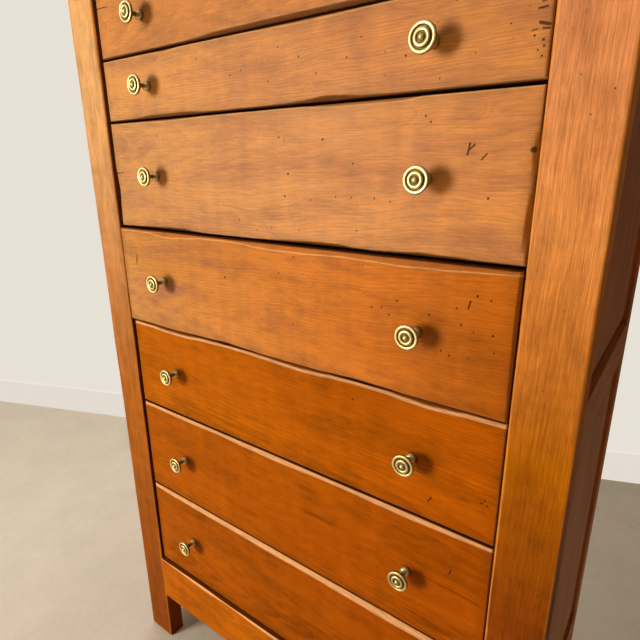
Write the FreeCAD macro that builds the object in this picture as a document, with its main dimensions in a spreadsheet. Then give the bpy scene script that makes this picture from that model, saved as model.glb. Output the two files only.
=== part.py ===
"""Semainier: a tall cherry chest with one drawer for each day of the week.

The carcass is framed: four posts that run down as feet, rails tenoned into them, fielded panels
in the sides, lapped boards nailed on at the back, and an overhanging top board. Each drawer is
dovetailed at the front, housed at the back, and runs on its own pair of wooden runners.

X runs to the right, Y to the back and Z up. The origin lies on the floor, in the middle of the
whole chest, brass knobs included. All lengths are in millimetres.
"""

import FreeCAD, Part
import os
import re
import Sketcher

DRAWERS = range(1, 8)       # numbered from the top
AJAR_DRAWER = 4             # this one is not pushed quite home
MIDDLE_RAIL_OVER_DRAWER = 5

SIZES = {
    # carcass
    "inner_width": 700,             # between the front posts
    "carcass_depth": 420,
    "post_width": 68,
    "post_depth": 35,
    "rear_post_width": 45,
    "rear_post_depth": 45,
    "post_easing": 2.5,             # rounding of the posts' long front edges
    "foot_rounding": 10,            # rounding of the outer and rear edges under each foot
    "foot_height": 122,             # from the floor to the bottom rails
    "bottom_rail_height": 104,
    "top_rail_height": 35,
    "front_rail_thickness": 26,
    "side_rail_thickness": 25,
    "side_top_rail_height": 70,
    "side_middle_rail_height": 60,
    "back_rail_thickness": 22,
    "back_top_rail_height": 70,
    "tenon_thickness": 10,
    "tenon_shoulder": 12,           # above and below each tenon
    "front_tenon_length": 28,
    "side_tenon_length": 24,
    "back_tenon_length": 22,
    # fielded panels of the sides
    "panel_thickness": 14,
    "panel_edge": 8,                # thickness left at the rim
    "panel_bevel": 30,              # width of the sloping border
    "panel_setback": 5,             # behind the outer face of the rails
    "panel_groove": 9,
    # back boards and their nails
    "back_board_thickness": 12,
    "back_board_count": 5,
    "back_board_gap": 1,
    "back_board_lap": 8,
    "back_board_inset": 2,          # in front of the posts' rear faces
    "back_rebate": 12,
    "nail_radius": 1.5,
    "nail_length": 26,
    "nail_head_radius": 4,
    "nail_head_thickness": 1,
    # top board and bottom board
    "top_board_thickness": 24,
    "top_overhang": 18,
    "top_nosing": 9,                # rounding of the upper edge
    "top_under_rounding": 4,
    "bottom_board_thickness": 10,
    "bottom_board_drop": 15,        # below the upper edge of the bottom rails
    "bottom_board_groove": 5,       # shallow enough to miss the rails' tenons
    # runners, guides and stops
    "runner_thickness": 15,
    "runner_lead": 13,              # how far a runner reaches in under the drawer side
    "runner_rise": 1,               # above the lower edge of the drawer front
    "guide_height": 18,
    "housing_depth": 6,             # of runners and guides in the posts
    "stop_height": 16,
    "stop_length": 14,
    "room_behind_stop": 9.7,        # from a stop to the back rails
    "running_gap": 0.3,
    # drawers
    "front_height_1": 94,
    "front_height_2": 90,
    "front_height_3": 168,
    "front_height_4": 169,
    "front_height_5": 166,
    "front_height_6": 186,
    "front_height_7": 190,
    "reveal": 4,                    # between one front and the next
    "side_reveal": 2,               # between a front and the posts
    "front_recess": 6,              # of a closed front behind the posts
    "ajar": 6,                      # how far the open one stands out
    "front_thickness": 22,
    "front_bevel_width": 6,
    "front_bevel_depth": 4,
    "drawer_side_thickness": 12,
    "drawer_side_drop": 6,          # of the sides below the upper edge of the front
    "drawer_back_thickness": 10,
    "drawer_back_drop": 4,          # of the back below the upper edge of the sides
    "drawer_back_inset": 8,         # of the back from the rear end of the sides
    "drawer_bottom_thickness": 7,
    "drawer_bottom_rise": 8,        # of the bottom above the lower edge of the sides
    "drawer_groove": 6,             # depth of grooves and housings in the drawer
    "dovetail_lap": 7,              # wood left in front of the dovetails
    "dovetail_slope": 7,            # one in so many
    "tail_spacing": 42,
    "pin_tip": 7,                   # width of a pin at its narrow end
    # turned knobs
    "knob_spread": 469,             # from one knob to the other
    "knob_length": 29.5,
    "knob_radius": 15,
    "knob_rim_bead": 2.8,
    "knob_ring_radius": 6.7,
    "knob_ring_bead": 2.3,
    "knob_ring_step": 1.4,          # of the inner ring in front of the rim
    "knob_dome_radius": 3.6,
    "knob_dome_step": 1.6,          # of the dome in front of the inner ring
    "knob_plate_thickness": 4.5,
    "knob_flare_length": 7,
    "knob_neck_radius": 3.2,
    "knob_foot_radius": 7.5,
    "knob_foot_rim": 1.8,
    "knob_foot_height": 9,
    "spindle_radius": 2.4,
    "spindle_length": 14,
    "spindle_clearance": 0.1,
}

WORKED_OUT = {
    "carcass_width": "inner_width + 2 * post_width",
    "front_width": "inner_width - 2 * side_reveal",
    # the chest is centred from the foremost knob to the rear faces of the posts
    "front_plane": "-(carcass_depth + front_recess - ajar - knob_length) / 2",
    "rear_plane": "front_plane + carcass_depth",
    "rear_post_plane": "rear_plane - rear_post_depth",
    "level_7": "foot_height + bottom_rail_height + reveal",
    "level_6": "level_7 + front_height_7 + reveal",
    "level_5": "level_6 + front_height_6 + reveal",
    "level_4": "level_5 + front_height_5 + reveal",
    "level_3": "level_4 + front_height_4 + reveal",
    "level_2": "level_3 + front_height_3 + reveal",
    "level_1": "level_2 + front_height_2 + reveal",
    "top_rail_level": "level_1 + front_height_1 + reveal",
    "post_height": "top_rail_level + top_rail_height",
    "box_lift": "runner_rise + runner_thickness + running_gap",
    "back_board_plane": "rear_plane - back_board_inset",
    "back_rail_plane": "back_board_plane - back_board_thickness - back_rail_thickness",
    # from the face of the front to the rear end of the sides
    "drawer_length": "back_rail_plane - room_behind_stop - stop_length - running_gap"
                     " - front_plane - front_recess",
    "rim_level": "knob_length - knob_dome_step - knob_ring_step - knob_rim_bead",
    "back_board_pitch": "(carcass_width - 2 * rear_post_width + 2 * back_rebate + back_board_gap)"
                        " / back_board_count",
}

doc = FreeCAD.newDocument("semainier")
NODES = []


# --- the sheet of sizes, and how pieces are bound to it ---

def make_sheet():
    """Write each size into a cell with its own name, then the sizes that follow from them."""
    sheet = doc.addObject("Spreadsheet::Sheet", "dims")
    cells = [(name, str(number)) for name, number in SIZES.items()]
    cells += [(name, "=" + formula) for name, formula in WORKED_OUT.items()]
    for row, (name, content) in enumerate(cells, start=1):
        sheet.set(f"A{row}", name)
        sheet.set(f"B{row}", content)
        sheet.setAlias(f"B{row}", name)
    doc.recompute()
    return sheet


dims = make_sheet()


def bound(formula):
    """Point every size that a formula names at its cell."""
    def cell(word):
        name = word.group()
        return f"dims.{name}" if name in SIZES or name in WORKED_OUT else name
    return re.sub(r"[a-z_]\w*", cell, formula)


def number(formula):
    """What a formula comes to with the sheet as it stands."""
    return float(dims.evalExpression(bound(formula)))


def bind(thing, **formulas):
    """Tie properties of an object to formulas."""
    for name, formula in formulas.items():
        thing.setExpression(name, bound(formula))


def put(thing, x, y, z):
    """Tie the place of an object to three formulas."""
    for axis, formula in zip("xyz", (x, y, z)):
        thing.setExpression(f"Placement.Base.{axis}", bound(formula))
    return thing


def node(name, thing):
    """Name a finished sub-part, which is written to a file of that name."""
    thing.Label = name
    NODES.append(thing)
    return thing


# --- solids ---

def board(name, corner, sides):
    """A plain board, from its low corner and its three sides."""
    solid = doc.addObject("Part::Box", name)
    bind(solid, Length=sides[0], Width=sides[1], Height=sides[2])
    return put(solid, *corner)


def cylinder(name, radius, height, corner):
    """A round bar that stands on the middle of its lower end."""
    solid = doc.addObject("Part::Cylinder", name)
    bind(solid, Radius=radius, Height=height)
    return put(solid, *corner)


def cone(name, low_radius, high_radius, height, z):
    """A round taper about the Z axis."""
    solid = doc.addObject("Part::Cone", name)
    bind(solid, Radius1=low_radius, Radius2=high_radius, Height=height)
    return put(solid, "0", "0", z)


def bead(name, ring_radius, bead_radius, z):
    """A turned half-round ring about the Z axis."""
    solid = doc.addObject("Part::Torus", name)
    bind(solid, Radius1=ring_radius, Radius2=bead_radius)
    return put(solid, "0", "0", z)


def slope(name, corner, far, depth, border):
    """A board whose face at Y = 0 is smaller all round by the border: far is (width, height)."""
    solid = doc.addObject("Part::Wedge", name)
    bind(solid, Ymin="0", Ymax=depth)
    bind(solid, Xmin=border, Zmin=border, X2min="0", Z2min="0")
    bind(solid, Xmax=f"{far[0]} - {border}", Zmax=f"{far[1]} - {border}", X2max=far[0], Z2max=far[1])
    return put(solid, *corner)


def joined(name, pieces):
    """Several solids glued or turned into one."""
    whole = doc.addObject("Part::MultiFuse", name)
    whole.Shapes = pieces
    whole.Refine = True
    return whole


def cut(name, base, tools):
    """One solid with the places of others cut out of it."""
    result = doc.addObject("Part::Cut", name)
    result.Base = base
    result.Tool = tools[0] if len(tools) == 1 else joined(name + "_tools", tools)
    return result


def group(name, pieces):
    """Separate solids that share one sub-part."""
    whole = doc.addObject("Part::Compound", name)
    whole.Links = pieces
    return whole


def mirrored(name, source):
    """The right-hand twin of a left-hand piece."""
    twin = doc.addObject("Part::Mirroring", name)
    twin.Source = source
    twin.Normal = FreeCAD.Vector(1, 0, 0)
    twin.Base = FreeCAD.Vector(0, 0, 0)
    return twin


# --- bodies drawn in sketches ---

def new_body(name, corner):
    """An empty body at its place."""
    return put(doc.addObject("PartDesign::Body", name), *corner)


def draw(body, name, role, corners):
    """A closed outline on one of the body's own planes, each corner tied to two formulas."""
    sketch = body.newObject("Sketcher::SketchObject", name)
    plane = next(item for item in body.Origin.OriginFeatures if item.Role == role)
    sketch.AttachmentSupport = (plane, [""])
    sketch.MapMode = "FlatFace"
    points = [FreeCAD.Vector(number(x), number(y), 0) for x, y in corners]
    for start, end in zip(points, points[1:] + points[:1]):
        sketch.addGeometry(Part.LineSegment(start, end))
    for line in range(len(points)):
        sketch.addConstraint(Sketcher.Constraint("Coincident", line, 2, (line + 1) % len(points), 1))
    for line, (point, formulas) in enumerate(zip(points, corners)):
        for kind, axis, place, formula in (("DistanceX", -2, point.x, formulas[0]),
                                           ("DistanceY", -1, point.y, formulas[1])):
            if formula == "0":
                sketch.addConstraint(Sketcher.Constraint("PointOnObject", line, 1, axis))
                continue
            tie = sketch.addConstraint(Sketcher.Constraint(kind, -1, 1, line, 1, place))
            sketch.setExpression(f"Constraints[{tie}]", bound(formula))
    return sketch


def rectangle(body, name, role, width, height):
    """An upright rectangle from the body's corner."""
    return draw(body, name, role, [("0", "0"), (width, "0"), (width, height), ("0", height)])


def pad(body, name, sketch, length):
    """Give a sketch its thickness, along the sketch's own normal."""
    feature = body.newObject("PartDesign::Pad", name)
    feature.Profile = sketch
    bind(feature, Length=length)
    doc.recompute()
    return feature


def rounded(body, name, base, radius, chosen):
    """Round the straight edges that lie where the chosen test says."""
    names = []
    for index, edge in enumerate(base.Shape.Edges, start=1):
        if chosen(edge.BoundBox):
            names.append(f"Edge{index}")
    feature = body.newObject("PartDesign::Fillet", name)
    feature.Base = (base, names)
    bind(feature, Radius=radius)
    body.Tip = feature
    doc.recompute()
    return feature


def same(first, second):
    """Whether two lengths agree."""
    return abs(first - second) < 1e-4


# --- carcass ---

def post_blank(name, width, depth, y):
    """A left-hand post: square, eased along the front, rounded under the foot."""
    body = new_body(name, ("-carcass_width / 2", y, "0"))
    blank = pad(body, name + "_length", rectangle(body, name + "_section", "XY_Plane", width, depth),
                "post_height")
    rear = number(depth)

    def under_foot(box):
        outer = same(box.XMax, 0)
        behind = same(box.YMin, rear)
        return same(box.ZMax, 0) and (outer or behind)

    def along_front(box):
        return same(box.YMax, 0) and box.ZLength > box.XLength

    foot = rounded(body, name + "_foot", blank, "foot_rounding", under_foot)
    rounded(body, name + "_easing", foot, "post_easing", along_front)
    return body


def tenoned(name, corner, sides, axis, tenon):
    """A rail with a tenon on each end of its X or Y axis, centred in its thickness and height."""
    core_corner = list(corner)
    core_sides = list(sides)
    thickness = 1 - axis
    core_corner[axis] = f"{corner[axis]} - {tenon}"
    core_sides[axis] = f"{sides[axis]} + 2 * {tenon}"
    core_corner[thickness] = f"{corner[thickness]} + ({sides[thickness]} - tenon_thickness) / 2"
    core_sides[thickness] = "tenon_thickness"
    core_corner[2] = f"{corner[2]} + tenon_shoulder"
    core_sides[2] = f"{sides[2]} - 2 * tenon_shoulder"
    rail = board(name + "_rail", corner, sides)
    core = board(name + "_tenons", core_corner, core_sides)
    return joined(name, [rail, core])


def front_rail(name, level, height):
    """A rail between the front posts, flush with their faces."""
    corner = ("-inner_width / 2", "front_plane", level)
    sides = ("inner_width", "front_rail_thickness", height)
    return tenoned(name, corner, sides, 0, "front_tenon_length")


def side_rail(name, level, height):
    """A left-hand rail between front and rear post, flush with their outer faces."""
    corner = ("-carcass_width / 2", "front_plane + post_depth", level)
    sides = ("side_rail_thickness", "carcass_depth - post_depth - rear_post_depth", height)
    return tenoned(name, corner, sides, 1, "side_tenon_length")


def back_rail(name, level, height):
    """A rail between the rear posts, just in front of the back boards."""
    corner = ("-(carcass_width / 2 - rear_post_width)", "back_rail_plane", level)
    sides = ("carcass_width - 2 * rear_post_width", "back_rail_thickness", height)
    return tenoned(name, corner, sides, 0, "back_tenon_length")


def side_panel(name, low, high):
    """A left-hand panel: a flat field with a sloping border that thins towards the grooves."""
    body_x = "-carcass_width / 2 + panel_setback"
    y = "front_plane + post_depth - panel_groove"
    z = f"{low} - panel_groove"
    width = "(carcass_depth - post_depth - rear_post_depth + 2 * panel_groove)"
    height = f"({high} - {low} + 2 * panel_groove)"
    field_depth = "(panel_thickness - panel_edge)"
    field = slope(name + "_field", (body_x, f"{y} + {width}", z), (width, height), field_depth,
                  "panel_bevel")
    field.Placement.Rotation = FreeCAD.Rotation(FreeCAD.Vector(0, 0, 1), -90)
    sheet = board(name + "_sheet", (f"{body_x} + {field_depth}", y, z), ("panel_edge", width, height))
    return joined(name, [field, sheet])


def back_board(index, count):
    """One upright board of the back, lapped over its neighbour by half its thickness."""
    left = f"-carcass_width / 2 + rear_post_width - back_rebate + {index} * back_board_pitch"
    width = "back_board_pitch - back_board_gap"
    inner_left = left if index == 0 else f"{left} + back_board_lap"
    if index == 0:
        inner_width = f"{width} + back_board_lap"
    elif index == count - 1:
        inner_width = f"{width} - back_board_lap"
    else:
        inner_width = width
    half = "back_board_thickness / 2"
    height = "post_height - foot_height"
    name = f"back_board_{index + 1}"
    outer = board(name + "_outer", (left, f"back_board_plane - {half}", "foot_height"),
                  (width, half, height))
    inner = board(name + "_inner", (inner_left, f"back_board_plane - 2 * {half}", "foot_height"),
                  (inner_width, half, height))
    return joined(name, [outer, inner])


def nail(name, x, z):
    """A wrought nail driven forwards through a back board into its rail."""
    shank = cylinder(name + "_shank", "nail_radius", "nail_length", ("0", "0", "0"))
    head = cylinder(name + "_head", "nail_head_radius", "nail_head_thickness",
                    ("0", "0", "-nail_head_thickness"))
    whole = joined(name, [shank, head])
    whole.Placement.Rotation = FreeCAD.Rotation(FreeCAD.Vector(1, 0, 0), 90)
    return put(whole, x, "back_board_plane", z)


def back_nails(count):
    """Two nails at the top and two at the bottom of each back board."""
    nails = []
    for index in range(count):
        middle = f"-carcass_width / 2 + rear_post_width - back_rebate + {index + 0.5} * back_board_pitch"
        for side, sign in (("left", "-"), ("right", "+")):
            x = f"{middle} {sign} back_board_pitch / 4"
            for end, z in (("low", "foot_height + bottom_rail_height / 2"),
                           ("high", "post_height - back_top_rail_height / 2")):
                nails.append(nail(f"nail_{index + 1}_{side}_{end}", x, z))
    return nails


def top_board():
    """The top: rounded over at the front and both sides, square at the back."""
    body = new_body("top_body", ("-carcass_width / 2 - top_overhang", "front_plane - top_overhang",
                                 "post_height"))
    outline = rectangle(body, "top_outline", "XY_Plane", "carcass_width + 2 * top_overhang",
                        "carcass_depth + top_overhang")
    blank = pad(body, "top_blank", outline, "top_board_thickness")
    rear = number("carcass_depth + top_overhang")
    thickness = number("top_board_thickness")

    def upper(box):
        return same(box.ZMin, thickness) and not same(box.YMin, rear)

    def lower(box):
        return same(box.ZMax, 0) and not same(box.YMin, rear)

    nosed = rounded(body, "top_nosing_edge", blank, "top_nosing", upper)
    rounded(body, "top_under_edge", nosed, "top_under_rounding", lower)
    return body


def bottom_board(posts):
    """The dust board in the grooves of the bottom rails, notched round the posts."""
    reach = "(carcass_width / 2 - side_rail_thickness + bottom_board_groove)"
    front = "front_plane + front_rail_thickness - bottom_board_groove"
    depth = f"back_rail_plane + bottom_board_groove - ({front})"
    level = "foot_height + bottom_rail_height - bottom_board_drop - bottom_board_thickness"
    sheet = board("bottom_sheet", (f"-{reach}", front, level), (f"2 * {reach}", depth,
                                                                "bottom_board_thickness"))
    return cut("bottom_cut", sheet, posts)


def runner(index):
    """A left-hand runner, housed in both posts, that carries a drawer side on its inner edge."""
    outer = "(carcass_width / 2 - side_rail_thickness)"
    inner = "(front_width / 2 - runner_lead)"
    corner = (f"-{outer}", "front_plane + post_depth - housing_depth", f"level_{index} + runner_rise")
    sides = (f"{outer} - {inner}", "carcass_depth - post_depth - rear_post_depth + 2 * housing_depth",
             "runner_thickness")
    return board(f"runner_{index}", corner, sides)


def guide(index):
    """The strip on a left-hand runner that keeps its drawer straight, in line with the post."""
    outer = "(carcass_width / 2 - side_rail_thickness)"
    corner = (f"-{outer}", "front_plane + post_depth - housing_depth",
              f"level_{index} + runner_rise + runner_thickness")
    sides = (f"{outer} - inner_width / 2",
             "carcass_depth - post_depth - rear_post_depth + 2 * housing_depth", "guide_height")
    return board(f"guide_{index}", corner, sides)


def stop(index):
    """The block on a left-hand runner that a closed drawer's side comes up against."""
    corner = ("-front_width / 2", "front_plane + front_recess + drawer_length + running_gap",
              f"level_{index} + runner_rise + runner_thickness")
    return board(f"stop_{index}", corner, ("drawer_side_thickness", "stop_length", "stop_height"))


def make_carcass():
    """Build and name everything that stands still."""
    front_post = post_blank("front_post_blank", "post_width", "post_depth", "front_plane")
    rear_post = post_blank("rear_post_blank", "rear_post_width", "rear_post_depth", "rear_post_plane")
    posts = [front_post, rear_post, mirrored("front_twin", front_post), mirrored("rear_twin", rear_post)]
    floor = bottom_board(posts)

    bottom_top = "foot_height + bottom_rail_height"
    middle = f"level_{MIDDLE_RAIL_OVER_DRAWER - 1} - side_middle_rail_height / 2"
    low_front = cut("front_bottom_cut", front_rail("front_bottom", "foot_height", "bottom_rail_height"),
                    [floor])
    high_front = front_rail("front_top", "top_rail_level", "top_rail_height")

    low_panel = side_panel("low_panel", f"({bottom_top})", f"({middle})")
    high_panel = side_panel("high_panel", f"({middle} + side_middle_rail_height)",
                            "(post_height - side_top_rail_height)")
    panels = group("side_panels", [low_panel, high_panel])
    low_side = side_rail("side_bottom", "foot_height", "bottom_rail_height")
    middle_side = side_rail("side_middle", middle, "side_middle_rail_height")
    high_side = side_rail("side_top", "post_height - side_top_rail_height", "side_top_rail_height")
    side_rails = group("side_rails", [cut("side_bottom_cut", low_side, [low_panel, floor]),
                                      cut("side_middle_cut", middle_side, [low_panel, high_panel]),
                                      cut("side_top_cut", high_side, [high_panel])])

    low_back = cut("back_bottom_cut", back_rail("back_bottom", "foot_height", "bottom_rail_height"),
                   [floor])
    high_back = back_rail("back_top", "post_height - back_top_rail_height", "back_top_rail_height")
    count = SIZES["back_board_count"]
    boards = [back_board(index, count) for index in range(count)]

    runners = [runner(index) for index in DRAWERS]
    guides = [guide(index) for index in DRAWERS]
    stops = [stop(index) for index in DRAWERS]
    sides_in_posts = [low_panel, high_panel, low_side, middle_side, high_side] + runners + guides
    front_left = cut("front_post_cut", front_post, [low_front, high_front] + sides_in_posts)
    rear_left = cut("rear_post_cut", rear_post, [low_back, high_back, boards[0]] + sides_in_posts)

    node("post_front_left", front_left)
    node("post_front_right", mirrored("post_front_right_twin", front_left))
    node("post_rear_left", rear_left)
    node("post_rear_right", mirrored("post_rear_right_twin", rear_left))
    node("rail_front_bottom", low_front)
    node("rail_front_top", high_front)
    node("side_rails_left", side_rails)
    node("side_rails_right", mirrored("side_rails_twin", side_rails))
    node("side_panels_left", panels)
    node("side_panels_right", mirrored("side_panels_twin", panels))
    node("back_rails", group("back_rail_pair", [low_back, high_back]))
    node("back_boards", group("back_board_set", boards))
    node("back_nails", group("back_nail_set", back_nails(count)))
    node("top_board", top_board())
    node("bottom_board", floor)
    for name, strips in (("drawer_runners", runners), ("drawer_guides", guides), ("drawer_stops", stops)):
        left = group(name + "_left", strips)
        node(name, group(name + "_set", [left, mirrored(name + "_right", left)]))


# --- drawers ---

def knob_pattern():
    """One turned knob, standing on Z = 0, with its threaded spindle below."""
    plate_level = "(rim_level + knob_rim_bead - knob_plate_thickness)"
    flare_level = f"({plate_level} - knob_flare_length)"
    rim = bead("knob_rim", "knob_radius - knob_rim_bead", "knob_rim_bead", "rim_level")
    ring = bead("knob_ring", "knob_ring_radius", "knob_ring_bead",
                "rim_level + knob_rim_bead + knob_ring_step - knob_ring_bead")
    plate = cylinder("knob_plate", "knob_radius - knob_rim_bead", "knob_plate_thickness - knob_ring_step",
                     ("0", "0", plate_level))
    flare = cone("knob_flare", "knob_neck_radius", "knob_radius - knob_rim_bead", "knob_flare_length",
                 flare_level)
    neck = cylinder("knob_neck", "knob_neck_radius", plate_level, ("0", "0", "0"))
    foot_rim = cylinder("knob_foot_rim_disc", "knob_foot_radius", "knob_foot_rim", ("0", "0", "0"))
    foot = cone("knob_foot", "knob_foot_radius", "knob_neck_radius", "knob_foot_height - knob_foot_rim",
                "knob_foot_rim")
    spindle = cylinder("knob_spindle", "spindle_radius", "spindle_length + knob_foot_rim",
                       ("0", "0", "-spindle_length"))
    dome = doc.addObject("Part::Sphere", "knob_dome")
    bind(dome, Radius="knob_dome_radius")
    put(dome, "0", "0", "knob_length - knob_dome_radius")
    return joined("knob_pattern", [rim, ring, plate, flare, neck, foot_rim, foot, spindle, dome])


def facing_front(thing):
    """Turn a piece that stands on Z = 0 so that it stands out from a drawer front."""
    thing.Placement = FreeCAD.Placement(FreeCAD.Vector(0, 0, 0),
                                        FreeCAD.Rotation(FreeCAD.Vector(1, 0, 0), 90))


def knob(name, pattern, x, face, z):
    """A knob like the pattern, at its place on a drawer front."""
    copy = doc.addObject("App::Link", name)
    copy.LinkedObject = pattern
    facing_front(copy)
    return put(copy, x, face, z)


def knob_hole(name, x, face, z):
    """The hole in a drawer front that a knob's spindle goes into."""
    hole = doc.addObject("Part::Cylinder", name)
    bind(hole, Radius="spindle_radius + spindle_clearance", Height="spindle_length + spindle_clearance")
    hole.Placement.Rotation = FreeCAD.Rotation(FreeCAD.Vector(1, 0, 0), -90)
    return put(hole, x, face, z)


def drawer_side_blank(name, corner, height):
    """A left-hand drawer side, with a row of sockets for the pins cut into its front end."""
    body = new_body(name, corner)
    length = "drawer_length - dovetail_lap"
    tails = "(front_thickness - dovetail_lap)"
    profile = rectangle(body, name + "_profile", "YZ_Plane", length, height)
    blank = pad(body, name + "_board", profile, "drawer_side_thickness")
    tip = "pin_tip / 2"
    root = f"pin_tip / 2 + {tails} / dovetail_slope"
    corners = [("0", f"-({tip})"), (tails, f"-({root})"), (tails, root), ("0", tip)]
    sketch = draw(body, name + "_pin", "YZ_Plane", corners)
    socket = body.newObject("PartDesign::Pocket", name + "_socket")
    socket.Profile = sketch
    socket.Reversed = True
    bind(socket, Length="drawer_side_thickness")
    doc.recompute()
    row = body.newObject("PartDesign::LinearPattern", name + "_sockets")
    row.Originals = [socket]
    row.Direction = (sketch, ["V_Axis"])
    bind(row, Length=height, Occurrences=f"round({height} / tail_spacing) + 1")
    body.Tip = row
    doc.recompute()
    if not blank.Shape.Volume > socket.Shape.Volume > row.Shape.Volume:
        raise RuntimeError(f"{name}: the sockets cut nothing")
    return body


def make_drawer(index, pattern):
    """Build and name the pieces of one drawer."""
    name = f"drawer_{index}"
    level = f"level_{index}"
    height = f"front_height_{index}"
    face = "front_plane + front_recess"
    if index == AJAR_DRAWER:
        face += " - ajar"
    box_low = f"{level} + box_lift"
    box_height = f"({height} - box_lift - drawer_side_drop)"
    inner = "(front_width / 2 - drawer_side_thickness + drawer_groove)"
    bottom_level = f"{box_low} + drawer_bottom_rise"
    back_level = f"{bottom_level} + drawer_bottom_thickness"
    box_rear = f"{face} + drawer_length - drawer_back_inset"

    bottom_front = f"{face} + front_thickness - drawer_groove"
    bottom = board(name + "_bottom_sheet", (f"-{inner}", bottom_front, bottom_level),
                   (f"2 * {inner}", f"{box_rear} - ({bottom_front})", "drawer_bottom_thickness"))
    back = board(name + "_back_board", (f"-{inner}", f"{box_rear} - drawer_back_thickness", back_level),
                 (f"2 * {inner}", "drawer_back_thickness",
                  f"{box_height} - drawer_bottom_rise - drawer_bottom_thickness - drawer_back_drop"))
    side = cut(name + "_side_cut",
               drawer_side_blank(name + "_side", ("-front_width / 2", f"{face} + dovetail_lap", box_low),
                                 box_height), [back, bottom])
    other_side = mirrored(name + "_side_twin", side)

    slab = board(name + "_slab", ("-front_width / 2", f"{face} + front_bevel_depth", level),
                 ("front_width", "front_thickness - front_bevel_depth", height))
    bevelled = slope(name + "_bevels", ("-front_width / 2", face, level), ("front_width", height),
                     "front_bevel_depth", "front_bevel_width")
    knob_level = f"{level} + {height} / 2"
    knobs = []
    holes = []
    for hand, x in (("left", "-knob_spread / 2"), ("right", "knob_spread / 2")):
        knobs.append(knob(f"{name}_knob_{hand}", pattern, x, face, knob_level))
        holes.append(knob_hole(f"{name}_hole_{hand}", x, face, knob_level))
    front = cut(name + "_front_cut", joined(name + "_front_blank", [slab, bevelled]),
                [side, other_side, bottom] + holes)

    node(name + "_front", front)
    node(name + "_side_left", side)
    node(name + "_side_right", other_side)
    node(name + "_back", back)
    node(name + "_bottom", bottom)
    node(name + "_knobs", group(name + "_knob_pair", knobs))


# --- checks and files ---

def check():
    """Stop if any object failed or any sub-part is not whole."""
    for thing in doc.Objects:
        if {"Invalid", "Error"} & set(thing.State):
            raise RuntimeError(f"{thing.Label} failed: {thing.State}")
    for thing in NODES:
        shape = thing.Shape
        if shape.isNull() or not shape.isValid() or not shape.Solids:
            raise RuntimeError(f"{thing.Label} has no valid solid")


def write():
    """Write each sub-part to its own file."""
    os.makedirs("parts", exist_ok=True)
    for thing in NODES:
        thing.Shape.exportStep(f"parts/{thing.Label}.step")
    solids = sum(len(thing.Shape.Solids) for thing in NODES)
    print(len(NODES), "sub-parts,", solids, "solids, top at", number("post_height + top_board_thickness"))


make_carcass()
master_knob = knob_pattern()
for drawer in DRAWERS:
    make_drawer(drawer, master_knob)
doc.recompute()
check()
write()
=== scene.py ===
# %% [markdown]
# # A semainier in waxed cherry
#
# A semainier is a tall chest with one drawer for each day of the week. Its fronts and its bottom
# rail were bevelled by hand, so each bevel widens and narrows along its edge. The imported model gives
# every board its place. Here the boards that a hand tool shaped are made again as worked-out
# surfaces, the plain ones keep their solids, and all of them get wood with its grain the right way.

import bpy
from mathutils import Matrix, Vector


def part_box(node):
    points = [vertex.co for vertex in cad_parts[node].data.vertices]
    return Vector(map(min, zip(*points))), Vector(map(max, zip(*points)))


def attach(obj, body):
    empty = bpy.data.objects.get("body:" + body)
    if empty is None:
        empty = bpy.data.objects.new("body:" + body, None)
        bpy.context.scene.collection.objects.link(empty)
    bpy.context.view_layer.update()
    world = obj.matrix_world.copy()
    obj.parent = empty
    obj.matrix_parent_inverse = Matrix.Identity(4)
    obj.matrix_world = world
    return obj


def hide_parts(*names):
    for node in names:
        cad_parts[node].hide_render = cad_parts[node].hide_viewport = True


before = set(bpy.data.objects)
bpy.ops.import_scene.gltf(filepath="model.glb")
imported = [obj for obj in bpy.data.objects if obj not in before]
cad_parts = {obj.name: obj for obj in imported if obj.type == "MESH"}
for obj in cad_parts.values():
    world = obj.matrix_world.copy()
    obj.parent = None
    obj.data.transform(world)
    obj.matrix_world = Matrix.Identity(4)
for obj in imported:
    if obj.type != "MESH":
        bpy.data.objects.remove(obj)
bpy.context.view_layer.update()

from math import cos, pi, radians, sin

import bpy
import numpy as np
from mathutils import Matrix, Vector

# %% [markdown]
# ## Millimetres and meshes
#
# A cabinet maker thinks in millimetres and Blender works in metres, so each shape is worked out in
# millimetres and turned into metres once, when its points go into a mesh. Every new piece goes through
# one function that also names the body it rides on, the finish it takes and the solid it stands for.

# %% Putting points into a mesh
MM = 0.001
CRISP_EDGE = radians(38)


def corners(node):
    """Lowest and highest corner of a node, in millimetres."""
    return [np.array(corner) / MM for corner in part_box(node)]


def make_piece(name, points, faces, body, material, stands_for=()):
    """A mesh from an array of points in millimetres and a list of faces, riding on a body."""
    mesh = bpy.data.meshes.new(name)
    mesh.from_pydata((points * MM).tolist(), [], faces)
    mesh.shade_smooth()
    mesh.set_sharp_from_angle(angle=CRISP_EDGE)
    mesh.materials.append(material)
    piece = bpy.data.objects.new(name, mesh)
    bpy.context.scene.collection.objects.link(piece)
    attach(piece, body)
    if stands_for:
        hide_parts(*stands_for)
    return piece


def grid_faces(rows, columns):
    """The four corners of each cell in a grid of points that is counted row by row."""
    first = (np.arange(rows - 1)[:, None] * columns + np.arange(columns - 1)).ravel()
    return np.stack([first, first + 1, first + columns + 1, first + columns], axis=1)


# %% [markdown]
# ## Maths on sockets
#
# A wood finish is a long sum of small effects: rings, fibres, pores, wear. Wiring each one by hand
# hides the sum, so a socket is wrapped in a small class whose operators add the Math nodes. Any
# other node comes from one method of the recipe it belongs to.

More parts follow.
